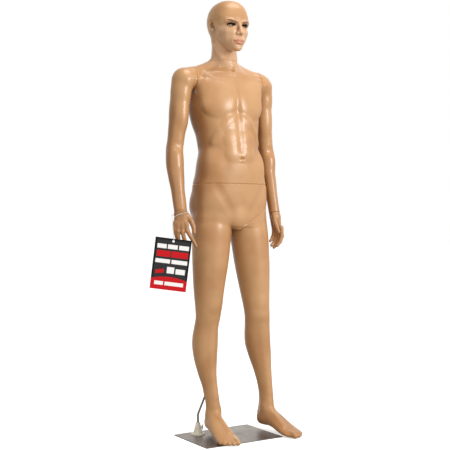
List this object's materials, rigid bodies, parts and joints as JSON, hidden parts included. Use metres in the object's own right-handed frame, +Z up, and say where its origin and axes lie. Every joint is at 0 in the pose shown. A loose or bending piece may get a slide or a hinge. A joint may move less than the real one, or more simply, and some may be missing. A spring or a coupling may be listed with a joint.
{
  "type": "full-body display mannequin",
  "caption": "Standing full-body male display mannequin with turning head, arms and hands, on a flat steel plate with a rod into the calf, and a blank printed tag on the wrist.",
  "frame": {"origin": "middle of the base plate's underside, on the surface it stands on", "axes": "+Z up, the figure faces -Y and its right side is towards -X"},
  "size_m": [0.6415, 0.3565, 1.852],
  "materials": {
    "skin": "satin tan moulded plastic, painted brows, eyes and lips",
    "brushed_plate": "brushed",
    "socket_plastic": "cream moulded plastic",
    "rod_chrome": "polished",
    "thumbscrew_metal": "dark zinc",
    "screw_steel": "zinc plated",
    "fitting_steel": "galvanised",
    "fitting_nylon": "moulded nylon",
    "tag_card": "printed card",
    "string_fibre": "fine cord"
  },
  "bodies": {
    "base": {"base_plate": "brushed_plate", "rod_socket": "socket_plastic", "socket_screws": "screw_steel"},
    "legs": {"support_rod": "rod_chrome", "calf_insert": "fitting_nylon", "pelvis_right_leg_shell": "skin", "waist_peg": "fitting_steel", "left_hip_socket": "fitting_steel", "left_hip_peg": "fitting_steel", "left_leg_shell": "skin"},
    "torso": {"torso_shell": "skin", "waist_socket": "fitting_steel", "neck_socket": "fitting_nylon", "right_shoulder_socket": "fitting_nylon", "left_shoulder_socket": "fitting_nylon"},
    "head": {"head_shell": "skin", "neck_stud": "fitting_nylon"},
    "right_arm": {"right_arm_shell": "skin", "right_shoulder_stud": "fitting_nylon", "right_wrist_socket": "fitting_nylon"},
    "left_arm": {"left_arm_shell": "skin", "left_shoulder_stud": "fitting_nylon", "left_wrist_socket": "fitting_nylon"},
    "right_hand": {"right_hand_shell": "skin", "right_wrist_stud": "fitting_nylon", "hang_tag": "tag_card", "tag_string": "string_fibre", "string_knot": "string_fibre"},
    "left_hand": {"left_hand_shell": "skin", "left_wrist_stud": "fitting_nylon"},
    "thumbscrew": {"clamp_thumbscrew": "thumbscrew_metal"}
  },
  "joints": [
    {"name": "rod_height", "type": "slide", "parent": "base", "child": "legs", "axis": [0, 0, 1], "range_m": [0, 0.03]},
    {"name": "thumbscrew_turn", "type": "hinge", "parent": "base", "child": "thumbscrew", "pos_m": [-0.095, 0.092, 0.033], "axis": [0.848, -0.5299, 0], "continuous": true},
    {"name": "torso_lift", "type": "slide", "parent": "legs", "child": "torso", "axis": [0, 0, 1], "range_m": [0, 0.045]},
    {"name": "head_turn", "type": "hinge", "parent": "torso", "child": "head", "pos_m": [0.015, 0.057, 1.596], "axis": [0, 0, 1], "range_deg": [-90, 90]},
    {"name": "right_arm_swing", "type": "hinge", "parent": "torso", "child": "right_arm", "pos_m": [-0.147, 0.05, 1.503], "axis": [-1, 0, 0], "range_deg": [-35, 100]},
    {"name": "left_arm_swing", "type": "hinge", "parent": "torso", "child": "left_arm", "pos_m": [0.177, 0.05, 1.503], "axis": [-1, 0, 0], "range_deg": [-35, 100]},
    {"name": "right_hand_turn", "type": "hinge", "parent": "right_arm", "child": "right_hand", "pos_m": [-0.236, -0.006, 0.955], "axis": [0, 0.2419, 0.9703], "range_deg": [-75, 75]},
    {"name": "left_hand_turn", "type": "hinge", "parent": "left_arm", "child": "left_hand", "pos_m": [0.246, 0.008, 0.95], "axis": [0, 0.2419, 0.9703], "range_deg": [-75, 75]}
  ]
}
